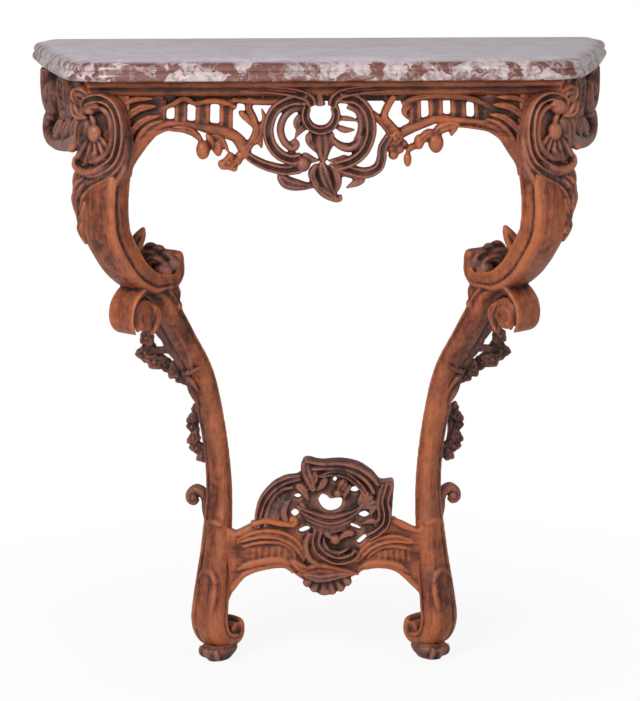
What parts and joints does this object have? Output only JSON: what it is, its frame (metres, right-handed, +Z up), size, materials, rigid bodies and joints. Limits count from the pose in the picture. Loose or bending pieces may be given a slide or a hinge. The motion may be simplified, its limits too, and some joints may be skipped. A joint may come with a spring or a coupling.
{
  "type": "pier table",
  "caption": "Carved wall table in the rococo manner: scrolled legs joined by a pierced stretcher, pierced apron, and a loose moulded marble slab.",
  "frame": {"origin": "on the floor, under the middle of the slab", "axes": "+X to the viewer's right along the wall, +Y towards the wall, +Z up"},
  "size_m": [0.84, 0.4, 0.88],
  "materials": {
    "carved_wood": "satin",
    "plain_wood": "matte",
    "marble": "polished"
  },
  "bodies": {
    "frame": {"apron_cartouche": "carved_wood", "apron_dowels": "plain_wood", "apron_pendant": "carved_wood", "back_rail": "plain_wood", "corner_blocks": "plain_wood", "crest_dowels": "plain_wood", "foot_dowels": "plain_wood", "frame_pegs": "plain_wood", "front_rail": "carved_wood", "left_apron": "carved_wood", "left_apron_spray": "carved_wood", "left_bellflower_drop": "carved_wood", "left_corner_shell": "carved_wood", "left_foot_pad": "carved_wood", "left_garland": "carved_wood", "left_knee_bud": "carved_wood", "left_knee_leaf": "carved_wood", "left_leg": "carved_wood", "left_leg_curl": "carved_wood", "left_side_drop": "carved_wood", "left_side_rail": "carved_wood", "right_apron": "carved_wood", "right_apron_spray": "carved_wood", "right_bellflower_drop": "carved_wood", "right_corner_shell": "carved_wood", "right_foot_pad": "carved_wood", "right_garland": "carved_wood", "right_knee_bud": "carved_wood", "right_knee_leaf": "carved_wood", "right_leg": "carved_wood", "right_leg_curl": "carved_wood", "right_side_drop": "carved_wood", "right_side_rail": "carved_wood", "stretcher": "carved_wood", "stretcher_crest": "carved_wood", "stretcher_pegs": "plain_wood", "stretcher_pendant": "carved_wood"},
    "top": {"marble_top": "marble"}
  },
  "joints": [
    {"name": "slab_lift", "type": "slide", "parent": "frame", "child": "top", "axis": [0, 0, 1], "range_m": [0, 0.12]}
  ]
}
